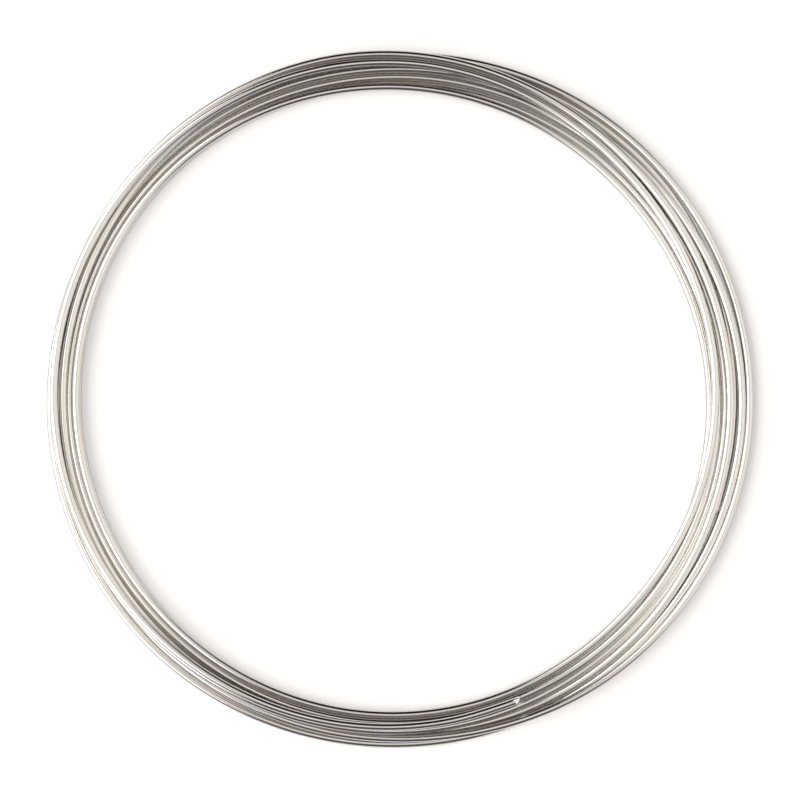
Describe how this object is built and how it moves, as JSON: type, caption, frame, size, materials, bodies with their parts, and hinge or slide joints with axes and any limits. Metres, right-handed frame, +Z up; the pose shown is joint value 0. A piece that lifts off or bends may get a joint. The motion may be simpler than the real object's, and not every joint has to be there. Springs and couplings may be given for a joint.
{
  "type": "coil of memory wire",
  "caption": "Flat round coil of springy bright steel wire, wound in loose turns that lie beside and on each other, for cutting into bracelet rounds.",
  "frame": {"origin": "middle of the coil, on the surface it lies on", "axes": "+Z up along the coil's own axis; +X and +Y lie in the plane of the coil, +Y towards the top of the usual plan view"},
  "size_m": [0.0618, 0.0618, 0.0021],
  "materials": {
    "wire": "bright drawn and plated, with fine lengthwise draw lines"
  },
  "bodies": {
    "root": {"wire_coil": "wire"}
  },
  "joints": []
}
